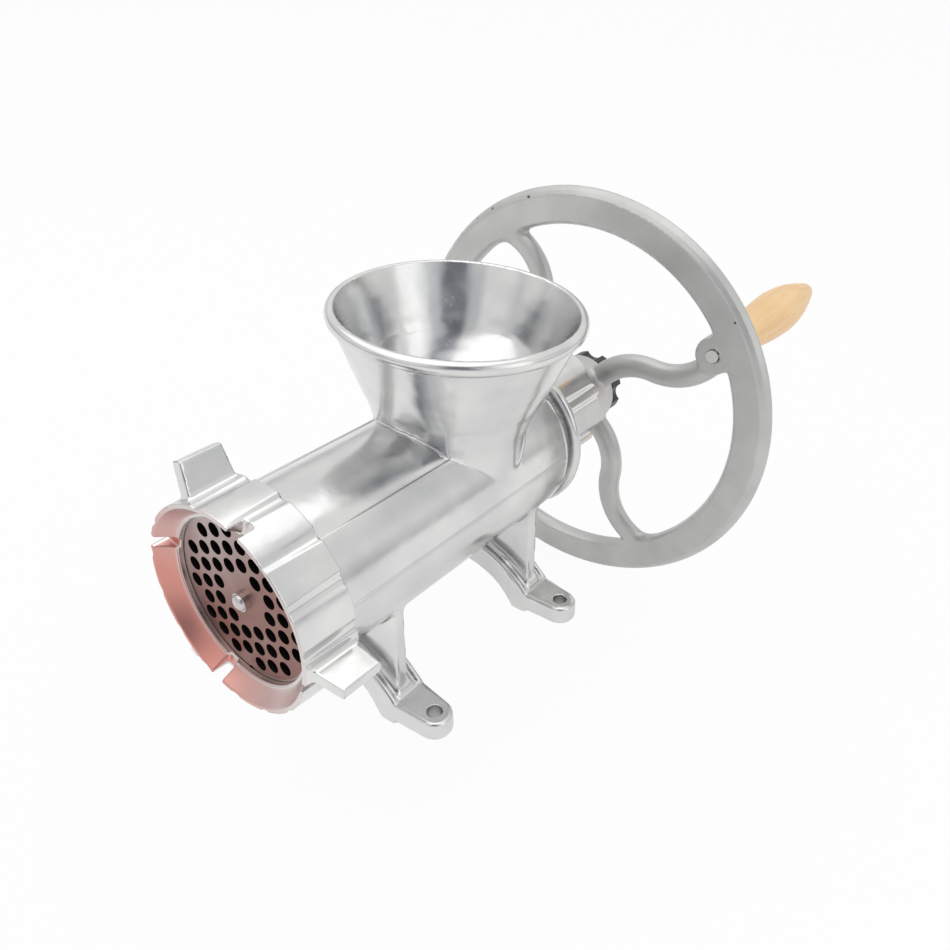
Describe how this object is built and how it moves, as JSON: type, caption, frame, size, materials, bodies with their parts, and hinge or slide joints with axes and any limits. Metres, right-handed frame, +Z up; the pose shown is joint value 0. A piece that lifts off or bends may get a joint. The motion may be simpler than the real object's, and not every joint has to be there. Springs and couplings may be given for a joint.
{
  "type": "manual meat grinder",
  "caption": "Hand cranked meat grinder that bolts to a bench: cast funnel body on arched feet, feed screw, knife and hole plate under a screw ring, spoked handwheel with wooden grip.",
  "frame": {"origin": "centre of the four foot holes, on the underside of the feet", "axes": "+Z up, +Y back along the barrel from the outlet to the handwheel, +X to the grip's side"},
  "size_m": [0.2834, 0.45, 0.2832],
  "materials": {
    "cast_aluminium": "polished casting",
    "ring_aluminium": "polished casting",
    "screw_aluminium": "as cast",
    "plate_steel": "ground",
    "knife_steel": "ground edges",
    "bright_steel": "turned",
    "zinc_steel": "zinc plated",
    "bronze": "turned",
    "wheel_paint": "satin silver grey",
    "knob_black": "moulded",
    "grip_wood": "varnished"
  },
  "bodies": {
    "body": {"barrel": "cast_aluminium", "hopper": "cast_aluminium", "rear_housing": "cast_aluminium", "leg_front_left": "cast_aluminium", "leg_front_right": "cast_aluminium", "leg_rear_left": "cast_aluminium", "leg_rear_right": "cast_aluminium", "plate_pin": "bright_steel", "rear_bushing": "bronze"},
    "plate": {"cutting_plate": "plate_steel"},
    "ring": {"ring_nut": "ring_aluminium"},
    "crank": {"knife": "knife_steel", "auger": "screw_aluminium", "auger_stud": "bright_steel", "thrust_washer": "bronze", "drive_shaft": "bright_steel", "handwheel": "wheel_paint", "handle_spindle": "zinc_steel", "grip_washer": "zinc_steel"},
    "washer": {"hub_washer": "zinc_steel"},
    "knob": {"knob_nut": "knob_black"},
    "grip": {"grip": "grip_wood"}
  },
  "joints": [
    {"name": "wheel_turn", "type": "hinge", "parent": "body", "child": "crank", "pos_m": [0, 0.0436, 0.094], "axis": [0, 1, 0], "continuous": true},
    {"name": "plate_slide", "type": "slide", "parent": "body", "child": "plate", "axis": [0, -1, 0], "range_m": [0, 0.015]},
    {"name": "ring_turn", "type": "hinge", "parent": "plate", "child": "ring", "pos_m": [0, -0.121, 0.094], "axis": [0, -1, 0], "range_deg": [0, 1080]},
    {"name": "washer_slide", "type": "slide", "parent": "crank", "child": "washer", "axis": [0, 1, 0], "range_m": [0, 0.007]},
    {"name": "knob_turn", "type": "hinge", "parent": "washer", "child": "knob", "pos_m": [0, 0.1857, 0.094], "axis": [0, 1, 0], "range_deg": [0, 1440]},
    {"name": "grip_spin", "type": "hinge", "parent": "crank", "child": "grip", "pos_m": [0.09382, 0.245, 0.15681], "axis": [0, 1, 0], "continuous": true}
  ],
  "couplings": [
    {"joint": "plate_slide", "follows": "ring_turn", "m_per_rad": 0.0007957},
    {"joint": "washer_slide", "follows": "knob_turn", "m_per_rad": 0.00027849}
  ]
}
